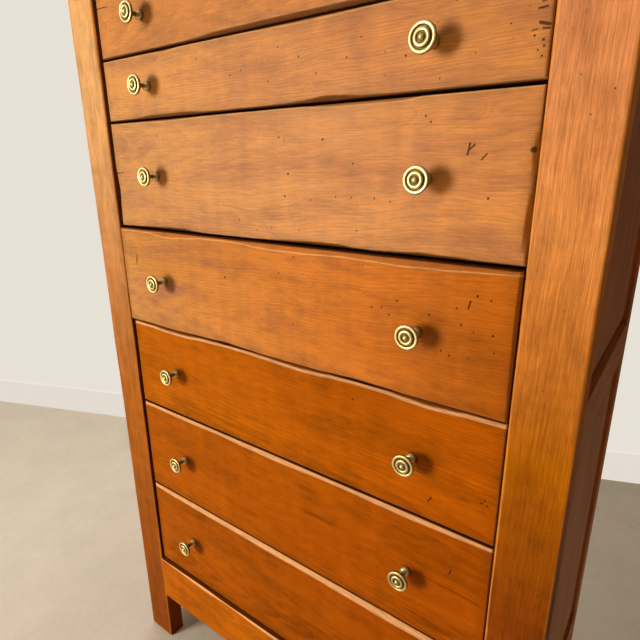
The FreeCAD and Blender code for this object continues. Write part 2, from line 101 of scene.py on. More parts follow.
# %% Recipes for materials
class Signal:
    """A socket's output inside a recipe, on which arithmetic can be written."""

    def __init__(self, recipe, socket):
        self.recipe, self.socket = recipe, socket

    def maths(self, operation, *values):
        return self.recipe.step("Math", {"operation": operation}, dict(enumerate(values)))

    def __add__(self, other): return self.maths("ADD", self, other)
    def __radd__(self, other): return self.maths("ADD", other, self)
    def __sub__(self, other): return self.maths("SUBTRACT", self, other)
    def __rsub__(self, other): return self.maths("SUBTRACT", other, self)
    def __mul__(self, other): return self.maths("MULTIPLY", self, other)
    def __rmul__(self, other): return self.maths("MULTIPLY", other, self)
    def __truediv__(self, other): return self.maths("DIVIDE", self, other)
    def __pow__(self, other): return self.maths("POWER", self, other)

    def most(self, other): return self.maths("MAXIMUM", self, other)
    def least(self, other): return self.maths("MINIMUM", self, other)
    def part(self): return self.maths("FRACT", self)
    def root(self): return self.maths("SQRT", self)

    def between(self, low, high):
        """0 below low, 1 above high, and an even rise from one to the other."""
        ends = {"Value": self, "From Min": low, "From Max": high}
        return self.recipe.step("MapRange", {"clamp": True}, ends, "Result")


class Recipe:
    """A material in the making."""

    def __init__(self, name, block=None):
        self.material = block or bpy.data.materials.new(name)
        self.material.use_nodes = True
        self.tree = self.material.node_tree
        self.tree.nodes.clear()

    def step(self, kind, settings=None, sockets=None, give=0):
        """Add a node of a kind: its settings first, then values or links for its sockets."""
        node = self.tree.nodes.new("ShaderNode" + kind)
        for key, value in (settings or {}).items():
            setattr(node, key, value)
        for key, value in (sockets or {}).items():
            if isinstance(value, Signal):
                self.tree.links.new(value.socket, node.inputs[key])
            else:
                node.inputs[key].default_value = value
        return Signal(self, node.outputs[give])

    def place(self):
        """The x, y and z of a point on the piece, in metres."""
        spot = self.step("TexCoord", give="Object")
        return [self.step("SeparateXYZ", None, {0: spot}, axis) for axis in range(3)]

    def vector(self, x, y, z):
        return self.step("CombineXYZ", None, {0: x, 1: y, 2: z})

    def noise(self, spot, detail=2.0, rough=0.5):
        """Cloudy noise from 0 to 1 at a spot whose own scale is already right."""
        return self.step("TexNoise", None, {"Vector": spot, "Scale": 1.0, "Detail": detail,
                                            "Roughness": rough}, "Fac")

    def mix(self, share, first, second):
        """One colour turning into another: a Mix node takes colours at sockets 6 and 7, not 1 and 2."""
        return self.step("Mix", {"data_type": "RGBA"}, {0: share, 6: first, 7: second}, 2)

    def scale(self, colour, by):
        """A colour made lighter or darker by a number."""
        return self.step("VectorMath", {"operation": "SCALE"}, {0: colour, "Scale": by})

    def times(self, colour, tint):
        """A colour multiplied by another."""
        return self.step("VectorMath", {"operation": "MULTIPLY"}, {0: colour, 1: tint})

    def share(self, name):
        """The share that a mesh stores on its points under a name."""
        return self.step("Attribute", {"attribute_name": name}, None, "Fac")

    def bump(self, height, distance, strength=1.0):
        """A relief too fine for the mesh, distance metres deep."""
        return self.step("Bump", None, {"Height": height, "Distance": distance,
                                        "Strength": strength}, "Normal")

    def finish(self, **sockets):
        """Join everything in the shader and hand over the material."""
        named = {key.replace("_", " "): value for key, value in sockets.items()}
        shader = self.step("BsdfPrincipled", None, named)
        self.step_output(shader)
        return self.material

    def step_output(self, shader, kind="ShaderNodeOutputMaterial"):
        node = self.tree.nodes.new(kind)
        self.tree.links.new(shader.socket, node.inputs["Surface"])


print("recipes ready")

# %% [markdown]
# ## Cherry
#
# A board is a flat slice through a tree's rings. The rings are cylinders round a pith that runs
# nearly along the board and a little aslant, so the slice shows long streaks and, where the slant
# matters, pointed arches. The distance to the pith gives the ring, noise bends it, and a steep saw
# tooth of that distance makes the thin dark line at the end of each year's growth. Fine fibres, short
# pores and slow clouds of colour come on top, with smoky patches where the finish has darkened. A
# board fades along its length, which paints light and shade into its tone. Each kind of bevel has a
# tone of its own that paints its light and shade, with a painted highlight along its crest, and old
# furniture has worm holes and cracks at places of their own.

# %% The wood function
AXES = {"x": 0, "y": 1, "z": 2}
BEVEL_MARKS = ("top_bevel", "bottom_bevel", "side_bevel", "crest")
BEVEL_COVER = 0.85                 # how fully a bevel's tone covers the board's own
HANDLED, HANDLED_DARK = 0.014, 0.22      # a band that hands have darkened: metres wide, and by how much
WORM_CELLS = 75.0                  # cells per metre, a share of which has a hole
HOLE_COLOUR = (0.03, 0.008, 0.002, 1)
GRAIN_RELIEF = 0.00015             # in metres


def stretched(wood, run, across, depth, along_scale, cross_scale, shift):
    """A spot for noise that is drawn out along the grain."""
    return wood.vector(run * along_scale + shift, across * cross_scale, depth * cross_scale + shift)


def growth_rings(wood, run, across, depth, pith, tilt, spacing):
    """0 to 1 within each ring: the fraction of (distance to the pith / spacing), cubed."""
    sideways = across - (run * tilt[0] + pith[0])
    inwards = depth - (run * tilt[1] + pith[1])
    distance = (sideways * sideways + inwards * inwards).root()
    return (distance / spacing).part() ** 3.0


def spot_mask(wood, across_spot, run_spot, run, across, radius):
    """1 within a radius of a spot on the board, with a narrow soft rim."""
    a = run - run_spot
    b = across - across_spot
    return 1.0 - (a * a + b * b).root().between(radius * 0.75, radius * 1.45)


def line_mask(wood, start, end, run, across, width):
    """1 on a straight line between two spots, falling to 0 at 0.8 widths from the segment."""
    dx, dz = end[0] - start[0], end[1] - start[1]
    a = run - start[0]
    b = across - start[1]
    share = ((a * dx + b * dz) / (dx * dx + dz * dz)).between(0, 1)
    gap_a = a - share * dx
    gap_b = b - share * dz
    return 1.0 - (gap_a * gap_a + gap_b * gap_b).root().between(width * 0.25, width * 0.8)


def wooden(name, grain, pale, deep, seed, smoke=None, pith=(0.0, 0.06), tilt=(0.02, 0.03),
           spacing=0.0030, ring=0.17, wave=0.30, mottle=0.42, smoky=0.75, pore=0.5, rough=0.55,
           spots=(), lines=(), veins=(), streaks=(), holes=0.04, edges=None, fades=(),
           bevels=None, specular=0.25, bend=0.6):
    """One board's wood. grain names the axes along the fibres, across them and into the board.

    pale and deep are its two tones and smoke is that of its patches. Spots, lines, veins and streaks
    are single marks, fades are changes of tone along it that paint light and shade, and bevels are the
    tones of its cut edges, which paint their light and shade and a highlight on the crest.
    """
    wood = Recipe(name)
    xyz = wood.place()
    run, straight_across, depth = (xyz[AXES[axis]] for axis in grain)

    def cloud(across, along_scale, cross_scale, shift, detail=2.0, coarse=0.5):
        return wood.noise(stretched(wood, run, across, depth, along_scale, cross_scale, seed * shift),
                          detail, coarse)

    broad = cloud(straight_across, 2.2, 7.0, 2.3)
    sway = cloud(straight_across, 4.0, 12.0, 3.7)
    curl = cloud(straight_across, 15.0, 24.0, 4.3)
    across = straight_across + (sway - 0.5) * (0.045 * bend) + (curl - 0.5) * (0.008 * bend)
    growth = cloud(across, 7.0, 750.0, 5.1, 3.0, 0.7)
    patches = cloud(across, 6.5, 30.0, 1.9, 3.0, 0.6)
    mottles = cloud(across, 26.0, 70.0, 2.9, 4.0, 0.65)
    figure = cloud(straight_across, 48.0, 6.0, 7.7, 2.0)
    fibre = cloud(across, 45.0, 1100.0, 6.1, 3.0, 0.7)
    rings = growth_rings(wood, run, across, depth, pith, tilt, spacing)
    fading = cloud(straight_across, 3.0, 20.0, 8.3)
    pores = cloud(straight_across, 190.0, 1500.0, 9.1, 1.0).between(0.66, 0.78)
    pores = pores * patches.between(0.3, 0.6)

    smoke = smoke or tuple(channel * factor for channel, factor in zip(deep, (0.74, 0.86, 1.3)))
    colour = wood.mix((broad * 0.7 + growth * 0.5 - 0.1).between(0.25, 0.75), (*pale, 1), (*deep, 1))
    grey = (patches * 0.7 + mottles * 0.3).between(0.47, 0.66)
    colour = wood.mix(grey * smoky, colour, (*smoke, 1))
    shade = 1.0 + (growth - 0.5) * -wave + (mottles - 0.5) * -mottle + (fibre - 0.5) * 1.0
    shade = shade + (figure - 0.5) * 0.30 + (patches - 0.5) * -0.20
    shade = shade * (1.0 - rings * fading.between(0.30, 0.58) * ring) * (1.0 - pores * pore)
    for centre_run, centre_across, long, wide, strength in streaks:
        a = (run - centre_run) / long
        b = (across - centre_across) / wide
        reach = 1.0 - (a * a + b * b).root().between(0.1, 1.0)
        shade = shade * (1.0 + reach * strength)
    for x1, z1, x2, z2, width, strength in veins:
        vein = line_mask(wood, (x1 * MM, z1 * MM), (x2 * MM, z2 * MM), run, across, width * MM)
        shade = shade * (1.0 - vein * strength)
    if edges:
        left, right, bottom, top = (edge * MM for edge in edges)
        nearest = (run - left).least(right - run).least(straight_across - bottom)
        nearest = nearest.least(top - straight_across) + (patches - 0.5) * 0.012
        shade = shade * (1.0 - (1.0 - nearest.between(0.0, HANDLED)) * HANDLED_DARK)
    dark = pores * 0.0
    for spot_run, spot_across, radius in spots:
        dark = dark.most(spot_mask(wood, spot_across * MM, spot_run * MM, run, straight_across,
                                   radius * MM))
    for x1, z1, x2, z2, width in lines:
        torn = straight_across + (mottles - 0.5) * 0.006
        start, end = (x1 * MM, z1 * MM), (x2 * MM, z2 * MM)
        dark = dark.most(line_mask(wood, start, end, run, torn, width * MM))
    if holes:
        cells = {"Vector": wood.vector(run * 0.8, straight_across, depth * 0.2 + seed),
                 "Scale": WORM_CELLS}
        near = wood.step("TexVoronoi", None, cells, "Distance")
        which = wood.step("TexVoronoi", None, cells, "Color")
        chosen = wood.step("SeparateColor", None, {0: which}, 0).between(1 - holes, 1.0001 - holes)
        dark = dark.most((1.0 - near.between(0.03, 0.075)) * chosen * patches.between(0.35, 0.5))
    # fades paint light and shade into the tone along the board
    for start, end, power, first, last in fades:
        tint = wood.mix(run.between(start, end) ** power, (*first, 1), (*last, 1))
        colour = wood.times(colour, tint)
    # the bevels' tones paint light and shade on them, and the crest's tone a highlight
    if bevels:
        for mark, tone in zip(BEVEL_MARKS, bevels):
            colour = wood.mix(wood.share(mark) * BEVEL_COVER, colour, (*tone, 1))
    colour = wood.scale(colour, shade)
    colour = wood.mix(dark * 0.9, colour, HOLE_COLOUR)
    gloss = rough + (patches - 0.5) * 0.16 + pores * 0.15 + dark * 0.3 + (fibre - 0.5) * 0.08
    height = fibre * 0.35 + growth * 0.5 - pores * 0.5 - dark * 2.0
    return wood.finish(Base_Color=colour, Roughness=gloss, Specular_IOR_Level=specular,
                       Normal=wood.bump(height, GRAIN_RELIEF, 0.8))


print("wood ready")

# %% [markdown]
# ## Brass and iron
#
# The knobs are turned brass, rubbed bright where fingers reach and dark olive where polish has
# collected: in the grooves, on the neck and round the foot. The lathe knows which is which, so it
# writes that share on each point as an attribute and the material reads it. The nails of the back
# are forged iron.

# %% Metals
def old_brass():
    """Brass that turns from bright to olive with the patina on its points."""
    metal = Recipe("waxed_brass")
    spot = metal.step("TexCoord", give="Object")
    fine = metal.noise(metal.scale(spot, 900.0), 3.0, 0.6)
    blot = metal.noise(metal.scale(spot, 160.0), 2.0)
    patina_and_gap_shade = metal.share("patina") + (blot - 0.5) * 0.35 + (fine - 0.5) * 0.25
    patina_and_gap_shade = patina_and_gap_shade.between(0.05, 1.0)
    colour = metal.mix(patina_and_gap_shade, (0.66, 0.515, 0.215, 1), (0.15, 0.10, 0.033, 1))
    return metal.finish(Base_Color=colour, Metallic=1.0 - patina_and_gap_shade * 0.2,
                        Roughness=0.38 + patina_and_gap_shade * 0.14 + fine * 0.08,
                        Normal=metal.bump(fine, 0.00005, 0.5))


def forged_iron():
    """Nearly black iron with soft patches of rust."""
    metal = Recipe("forged_iron")
    spot = metal.step("TexCoord", give="Object")
    pits = metal.noise(metal.scale(spot, 500.0), 3.0, 0.6)
    rust = metal.noise(metal.scale(spot, 120.0), 2.0).between(0.45, 0.7)
    colour = metal.mix(rust, (0.055, 0.05, 0.047, 1), (0.13, 0.055, 0.025, 1))
    return metal.finish(Base_Color=colour, Metallic=0.75 - rust * 0.5, Roughness=0.55 + pits * 0.2,
                        Normal=metal.bump(pits, 0.0002, 0.8))


BRASS = old_brass()
IRON = forged_iron()
print("metals ready")

# %% [markdown]
# ## Each front's own board
#
# No two fronts were cut from the same plank. Each one gets its own two tones, its own slice through
# the tree and its own marks. The tones of the three lowest fronts are darker, which paints the shade
# that falls lower down, and fades across each front paint a sheen paler to the left.

# %% The tones and marks of the seven fronts
# Tones of the top, bottom and side bevels, which paint their light and shade, and of the painted highlight
# on the crest beside them
UPPER = ((0.42, 0.105, 0.003), (0.15, 0.036, 0.001), (0.42, 0.11, 0.005), (0.98, 0.50, 0.14))
MIDDLE = ((0.60, 0.17, 0.02), (0.12, 0.03, 0.002), (0.38, 0.09, 0.004), (1.0, 0.52, 0.18))
LOWER = ((1.0, 0.50, 0.20), (0.12, 0.028, 0.001), (0.26, 0.055, 0.001), (1.0, 0.56, 0.25))
# A fade: from where to where along the grain in metres, to which power, and the tints at both ends
# Painted sheen: paler and bluer to the left, where a front reflects the bright room, warmer to the right
PAINTED_SHEEN = (-0.35, 0.35, 1, (0.99, 1.14, 1.3), (0.97, 0.93, 0.7))
GREY_SMOKE = (0.44, 0.135, 0.034)
# The three lowest fronts: darker tones that paint the shade lower down, little gloss and the painted sheen
DARK_BOARD = dict(specular=0.02, wave=0.5, ring=0.25, fades=[PAINTED_SHEEN], bevels=LOWER)
# Spots are (x, z, radius), lines (x, z, x, z, width) and veins the same with a strength, all in
# millimetres; a streak is (x, z, half length, half width, strength), in metres
# Each front's fades paint a sheen that is paler and bluer to the left
FRONTS = {
    1: dict(pale=(0.62, 0.205, 0.022), deep=(0.48, 0.13, 0.010), pith=(1.27, -0.05), tilt=(0.01, 0.05),
            smoky=0.8, specular=0.3, fades=[PAINTED_SHEEN], bevels=UPPER, lines=[(-345, 1295, -315, 1295, 1.0)],
            spots=[(-120, 1290, 0.8), (210, 1240, 0.8)]),
    2: dict(pale=(0.70, 0.24, 0.032), deep=(0.54, 0.172, 0.02), pith=(1.02, -0.08), tilt=(0.04, 0.03),
            holes=0.7, specular=0.3, smoke=GREY_SMOKE, bevels=UPPER,
            fades=[(-0.35, 0.2, 1, (0.94, 1.14, 1.5), (0.97, 1.0, 1.05))],
            lines=[(337, 1192, 345, 1193, 1.2), (334, 1187, 342, 1188, 1.2), (337, 1176, 345, 1174, 2.8),
                   (340, 1171, 345, 1170, 1.8), (330, 1170, 335, 1171, 0.9)],
            spots=[(-120, 1199, 1.0), (-55, 1172, 1.0), (-35, 1176, 0.9), (30, 1195, 0.8),
                   (62, 1181, 1.0), (88, 1160, 0.9), (131, 1172, 1.0), (150, 1190, 0.8),
                   (205, 1165, 1.0), (236, 1188, 1.0), (12, 1158, 0.9), (333, 1166, 0.9),
                   (341, 1162, 1.0), (342, 1157, 0.9), (337, 1154, 0.8), (341, 1149, 0.8)]),
    3: dict(pale=(0.67, 0.24, 0.034), deep=(0.52, 0.168, 0.022), pith=(1.10, -0.06), tilt=(0.03, 0.04),
            holes=0.25, smoky=0.7, specular=0.3, smoke=GREY_SMOKE, bevels=UPPER,
            fades=[(-0.35, 0.35, 1, (0.90, 1.08, 1.45), (1.04, 1.05, 1.0))],
            lines=[(-347, 1046, -325, 1047, 1.3), (279, 1066, 281, 1077, 1.8),
                   (281, 1071, 286, 1076, 1.6), (294, 1061, 299, 1066, 1.3)],
            veins=[(-85, 1003, -25, 999, 3.5, 0.16), (-25, 999, 0, 1005, 3.0, 0.16),
                   (0, 1005, 60, 1008, 3.0, 0.12)],
            spots=[(-225, 1102, 1.2), (27, 1091, 1.0), (97, 1086, 1.2), (41, 1046, 1.2),
                   (141, 1058, 1.0), (304, 1023, 1.2), (231, 1105, 1.0), (237, 1099, 1.0),
                   (34, 1018, 1.0), (343, 1069, 2.6), (36, 1087, 0.8), (35, 1017, 0.9),
                   (78, 1014, 0.8), (116, 1019, 0.9), (139, 1019, 0.8), (171, 1019, 0.9),
                   (192, 1016, 0.8), (-53, 982, 0.9), (-19, 970, 0.8), (9, 975, 0.9), (58, 974, 0.8),
                   (147, 980, 0.9)],
            # a painted highlight, where the front reflects the window
            streaks=[(-0.005, 1.090, 0.045, 0.012, 0.22)]),
    4: dict(pale=(0.68, 0.205, 0.013), deep=(0.52, 0.138, 0.005), pith=(1.0, -0.07), tilt=(0.03, 0.03),
            holes=0.6, specular=0.06, smoke=(0.40, 0.11, 0.012),
            fades=[(-0.35, 0.35, 1, (0.92, 1.40, 6.5), (1.12, 0.93, 0.2))], bevels=MIDDLE,
            lines=[(295, 907, 297, 915, 1.8), (-309, 893, -306, 907, 2.4)],
            spots=[(-84.5, 894.5, 1.6), (51, 939, 1.0), (24, 914, 1.0), (208, 902, 1.1), (188, 891, 0.9),
                   (174, 889, 1.2), (198, 883, 1.0), (250, 892, 1.1), (282, 905, 0.9), (304, 922, 1.2),
                   (319, 919, 1.0), (288, 887, 1.1), (303, 881, 0.9), (324, 881, 1.2), (267, 852, 1.0),
                   (277, 848, 1.1), (327, 862, 0.9)],
            # the second streak is painted shade, darker towards the right end
            streaks=[(-0.328, 0.922, 0.03, 0.018, -0.22), (0.33, 0.86, 0.20, 0.20, -0.30)]),
    5: dict(DARK_BOARD, pale=(0.52, 0.116, 0.001), deep=(0.40, 0.080, 0.0006), pith=(0.60, -0.05),
            tilt=(0.03, 0.03), lines=[(260, 641, 265, 649, 1.4)],
            spots=[(144, 753, 1.2), (328, 668, 1.2), (332, 673, 1.0), (335, 667, 1.0)]),
    6: dict(DARK_BOARD, pale=(0.47, 0.10, 0.001), deep=(0.36, 0.068, 0.0006), pith=(0.40, -0.06),
            tilt=(-0.02, 0.03), lines=[(296, 545, 298, 553, 1.4)], veins=[(255, 521, 337, 521, 1.6, 0.35)],
            spots=[(-91.5, 502, 1.3)], streaks=[(0.077, 0.5345, 0.042, 0.007, -0.42)]),
    7: dict(DARK_BOARD, pale=(0.43, 0.088, 0.001), deep=(0.33, 0.060, 0.0006), pith=(0.28, -0.06),
            tilt=(0.03, 0.04)),
}
FRONT_WOOD = {}
for number, look in FRONTS.items():
    low, high = corners(f"drawer_{number}_front")
    FRONT_WOOD[number] = wooden(f"cherry_front_{number}", "xzy", seed=number + 0.37,
                                edges=(low[0], high[0], low[2], high[2]), **look)
print(len(FRONTS), "boards for the fronts")

# %% [markdown]
# ## Carved blocks
#
# A drawer front is a rectangular block whose face was bevelled with a spokeshave. A CAD chamfer is
# straight and even, and Blender's bevel is too, so neither shows the waves. The face is worked out
# instead as a relief: each point's depth behind the face plane follows from how far it is from each
# edge and how wide the bevel is there. The four bevels meet in a mitre that was softened by sanding.
# Top bevels are shallow, so they catch the light, and each bevel's tone paints its light and shade
# with a painted highlight along the crest. Rings of points just behind the face carry painted shade
# that keeps the gaps between the fronts dark.

# %% Bevels as a relief
EASE = 0.5            # softness of the line where a bevel meets the face
CREST = {"top": (0.6, 1.3, 0.7), "bottom": (0.3, 1.1, 0.25), "left": (0.3, 1.1, 0.2),
         "right": (0.3, 1.0, 0.1)}      # where a highlight is painted along the crest: middle, reach and share
RIM = 0.8             # rounding of the very edge
GAP_SHADE_START, GAP_SHADE_END = 0.5, 13.0     # painted shade in the gaps: how far behind the face
ALL_LIT = 50          # more than any bevel's width: nothing shades it
COLUMN_STEP, ROW_STEP = 4.0, 11.0      # between grid lines, along x and along z
PLANE_MARKS = ((420, 150), (230, 95), (140, 70), (90, 48))     # lengths of waves along and across
CROSS_MARKS = 0.6     # how strong the marks across the board are beside those along it
NEAR_EDGE = np.array([0, 0.2, 0.5, 0.9, 1.5, 2.2, 3, 3.8, 4.6, 5.4, 6.2, 7, 7.8, 8.6, 9.4, 10.2, 11,
                      12, 13.2, 15])


def smooth_through(knots, at):
    """Widths along an edge: between two knots the share t of the way becomes 3t² - 2t³."""
    places, widths = np.array(knots, float).T
    which = np.clip(np.searchsorted(places, at) - 1, 0, len(places) - 2)
    share = np.clip((at - places[which]) / (places[which + 1] - places[which]), 0, 1)
    return widths[which] + (widths[which + 1] - widths[which]) * share * share * (3 - 2 * share)


def bevel_depth(inside, slope):
    """slope · (t + √(t² + ease²)) / 2, where t is the bevel's width less the distance to the edge."""
    return slope * (inside + np.sqrt(inside ** 2 + EASE ** 2)) / 2


def crest_share(inside, middle, reach, most):
    """A peak with a narrow flat top: most at the middle, falling evenly to 0 at the reach."""
    return most * np.clip(1.3 * (1 - np.abs(inside - middle) / reach), 0, 1)


def hand_planed(x, z, seed, amount):
    """A sum of a few long sine waves, never below 0: the marks of a plane under the finish."""
    chance = np.random.default_rng(seed)
    total = np.zeros_like(x)
    for long_wave, cross_wave in PLANE_MARKS:
        total = total + np.sin(2 * pi * (x / long_wave + z / cross_wave * chance.uniform(-1, 1))
                               + chance.uniform(0, 2 * pi))
        total = total + np.sin(2 * pi * z / cross_wave + chance.uniform(0, 2 * pi)) * CROSS_MARKS
    return amount * (1 + total / (len(PLANE_MARKS) * (1 + CROSS_MARKS)))


def grid_lines(low, high, step):
    """Places of grid lines: close together near both ends, about a step apart between."""
    inner = NEAR_EDGE[-1]
    count = max(int((high - low - 2 * inner) / step), 2)
    middle = np.linspace(low + inner, high - inner, count + 1)[1:-1]
    return np.concatenate([low + NEAR_EDGE, middle, (high - NEAR_EDGE)[::-1]])


print("widths and marks ready")


# %% The carved block
def bevel_shares(distances, inside, depths, lit_reach):
    """Each point's share in the top, bottom and side bevels, whose tones paint light and shade, and in
    the painted highlight on the crest beside them.

    A point belongs to its deepest bevel. The top one takes painted shade instead past lit_reach and at its
    rim.
    """
    deepest = np.maximum.reduce(list(depths.values()))
    on_bevel = np.clip((deepest - 0.15) / 0.35, 0, 1)
    lit = 1 - np.clip((inside["top"] - lit_reach) / 2.4, 0, 1)
    lit = lit * np.clip(distances["top"] / RIM - 0.7, 0, 1)
    upper = np.where(depths["top"] >= deepest, on_bevel * lit, 0)
    shaded = np.where(depths["top"] >= deepest, on_bevel * (1 - lit), 0)
    lower = np.where(depths["bottom"] >= deepest, on_bevel, shaded)
    side = np.where(np.maximum(depths["left"], depths["right"]) >= deepest, on_bevel, 0)
    crest = np.maximum.reduce([crest_share(inside[edge], *CREST[edge]) for edge in inside])
    # a painted highlight along the crest, left out where two bevels meet
    crest_highlight = np.where(sum(depth > 0.6 for depth in depths.values()) > 1, 0, crest)
    return np.stack([upper, lower, side, crest_highlight], axis=-1).reshape(-1, len(BEVEL_MARKS))


def gap_shade_shares(distances, outline, shaded_edges):
    """Full painted shade on the outline beside the named edges; it has the bottom bevels' dark tone."""
    beside = [np.abs(distances[edge].ravel()[outline]) < 0.01 for edge in shaded_edges]
    shares = np.zeros((len(outline), len(BEVEL_MARKS)))
    shares[:, 1] = np.any(beside, axis=0)
    return shares


def closed_faces(rows, columns, outline, rings):
    """The cells of a grid, strips from its outline through rings of points behind it, and a back."""
    count = rows * columns
    loops = [outline] + [count + ring * len(outline) + np.arange(len(outline)) for ring in range(rings)]
    strips = [np.stack([outer, inner, np.roll(inner, -1), np.roll(outer, -1)], axis=1)
              for outer, inner in zip(loops, loops[1:])]
    return np.concatenate([grid_faces(rows, columns)] + strips).tolist() + [loops[-1][::-1].tolist()]


def carved_block(low, high, bevels, slopes, seed, waviness=0.10, lit_reach=ALL_LIT,
                 shaded_edges=("left", "right", "bottom", "top")):
    """A closed block whose face, towards -Y, is a relief; its other five sides are flat.

    Its depth is (the sum of the four bevels' depths to the fourth power) to the power of a quarter,
    so they meet in a soft mitre. A quarter circle at the rim and the marks of the plane are added.
    """
    x, z = np.meshgrid(grid_lines(low[0], high[0], COLUMN_STEP), grid_lines(low[2], high[2], ROW_STEP))
    distances = {"left": x - low[0], "right": high[0] - x, "bottom": z - low[2], "top": high[2] - z}
    along = {"left": z, "right": z, "bottom": x, "top": x}
    inside = {edge: smooth_through(bevels[edge], along[edge]) - distances[edge] for edge in along}
    depths = {edge: bevel_depth(inside[edge], slopes[edge]) for edge in along}
    mitred = sum(depth ** 4 for depth in depths.values()) ** 0.25
    near_rim = np.clip(1 - np.minimum.reduce(list(distances.values())) / RIM, 0, 1)
    rounded = RIM * (1 - np.sqrt(1 - near_rim ** 2 * 0.96))
    y = low[1] + mitred + rounded + hand_planed(x, z, seed, waviness)
    face = np.stack([x, y, z], axis=-1).reshape(-1, 3)
    index = np.arange(x.size).reshape(x.shape)
    outline = np.concatenate([index[0, :-1], index[:-1, -1], index[-1, :0:-1], index[:0:-1, 0]])
    flat = face[outline] * (1, 0, 1)
    rings = [face[outline] + (0, GAP_SHADE_START, 0), flat + (0, low[1] + GAP_SHADE_END, 0), flat + (0, high[1], 0)]
    # painted shade on the rings behind the outline keeps the gaps between the fronts dark
    patina_and_gap_shade = gap_shade_shares(distances, outline, shaded_edges)
    shares = [bevel_shares(distances, inside, depths, lit_reach), patina_and_gap_shade, patina_and_gap_shade * 0.9, patina_and_gap_shade * 0]
    return (np.concatenate([face] + rings), closed_faces(*x.shape, outline, len(rings)),
            np.concatenate(shares))


def mark_bevels(piece, marks):
    """Store each point's share in the bevels' painted light and shade and in the crest's highlight."""
    for name, share in zip(BEVEL_MARKS, marks.T):
        layer = piece.data.attributes.new(name, "FLOAT", "POINT")
        layer.data.foreach_set("value", np.ascontiguousarray(share, dtype=np.float32))


print("carving ready")

# %% [markdown]
# ## Cutting joints
#
# The sides are dovetailed into the front from behind, and the bottom slides into a groove. Those
# hollows show when a drawer is pulled out. The sides and bottom themselves are the exact tools for
# them, so a boolean takes their shapes out of the carved front. The knobs' spindles end unseen in
# the wood, so no holes are cut for them.

# %% A boolean cut with other pieces
OUTER_PUSH = 2.0      # how far a tool is drawn out past a face that it shares with the piece
WELD_WITHIN = 0.00001      # in metres: points of loose triangles that are one point


def tool_from_node(node, x_limit):
    """A merged copy of a node's solid; faces at the given |x| are drawn out so as not to coincide."""
    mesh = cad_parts[node].data.copy()
    tool = bpy.data.objects.new("tool", mesh)
    bpy.context.scene.collection.objects.link(tool)
    points = np.empty(len(mesh.vertices) * 3)
    mesh.vertices.foreach_get("co", points)
    points = points.reshape(-1, 3)
    outer = np.abs(points[:, 0]) > (x_limit - 0.01) * MM
    points[outer, 0] += np.sign(points[outer, 0]) * OUTER_PUSH * MM
    mesh.vertices.foreach_set("co", points.ravel())
    weld = tool.modifiers.new("weld", "WELD")
    weld.merge_threshold = WELD_WITHIN
    return tool


def cut_from(piece, tools):
    """Take each tool out of a piece and keep the result as the piece's own mesh."""
    for tool in tools:
        cut = piece.modifiers.new("cut", "BOOLEAN")
        cut.operation, cut.solver, cut.object = "DIFFERENCE", "EXACT", tool
    ready = piece.evaluated_get(bpy.context.evaluated_depsgraph_get())
    mesh = bpy.data.meshes.new_from_object(ready)
    mesh.name = piece.name
    piece.modifiers.clear()
    piece.data = mesh
    mesh.shade_smooth()
    mesh.set_sharp_from_angle(angle=CRISP_EDGE)
    for tool in tools:
        bpy.data.objects.remove(tool, do_unlink=True)


print("cutting ready")

# %% [markdown]
# ## Turned knobs
#
# Each knob came off a lathe, so it is a profile carried round a line. The profile goes from the
# spindle that enters the wood, over a bun-shaped foot and a thin neck, round the rim of the disc and
# across its two beads to the dome in the middle. Beads are arcs of ellipses, and a third column says
# how much patina each point of the profile has kept.

# %% Profiles and the lathe
KNOB_TURNS = 72
SPINDLE = (2.4, 14.0)                   # radius and length


def arc(radius, height, wide, tall, start, end, count, patina_and_gap_shade):
    """(radius + wide·cos t, height + tall·sin t) for t between two angles, and its patina."""
    t = np.radians(np.linspace(start, end, count))
    patina = np.linspace(patina_and_gap_shade[0], patina_and_gap_shade[1], count)
    return np.stack([radius + wide * np.cos(t), height + tall * np.sin(t), patina], axis=1)


def straight(*rows):
    """Points of a profile as they are."""
    return np.array(rows, float)


def groove_patina(profile, crest, depth):
    """((crest - height) / depth)²: bright on the beads, and full patina in the grooves between them."""
    profile[:, 2] = np.clip((crest - profile[:, 1]) / depth, 0, 1) ** 2
    return profile


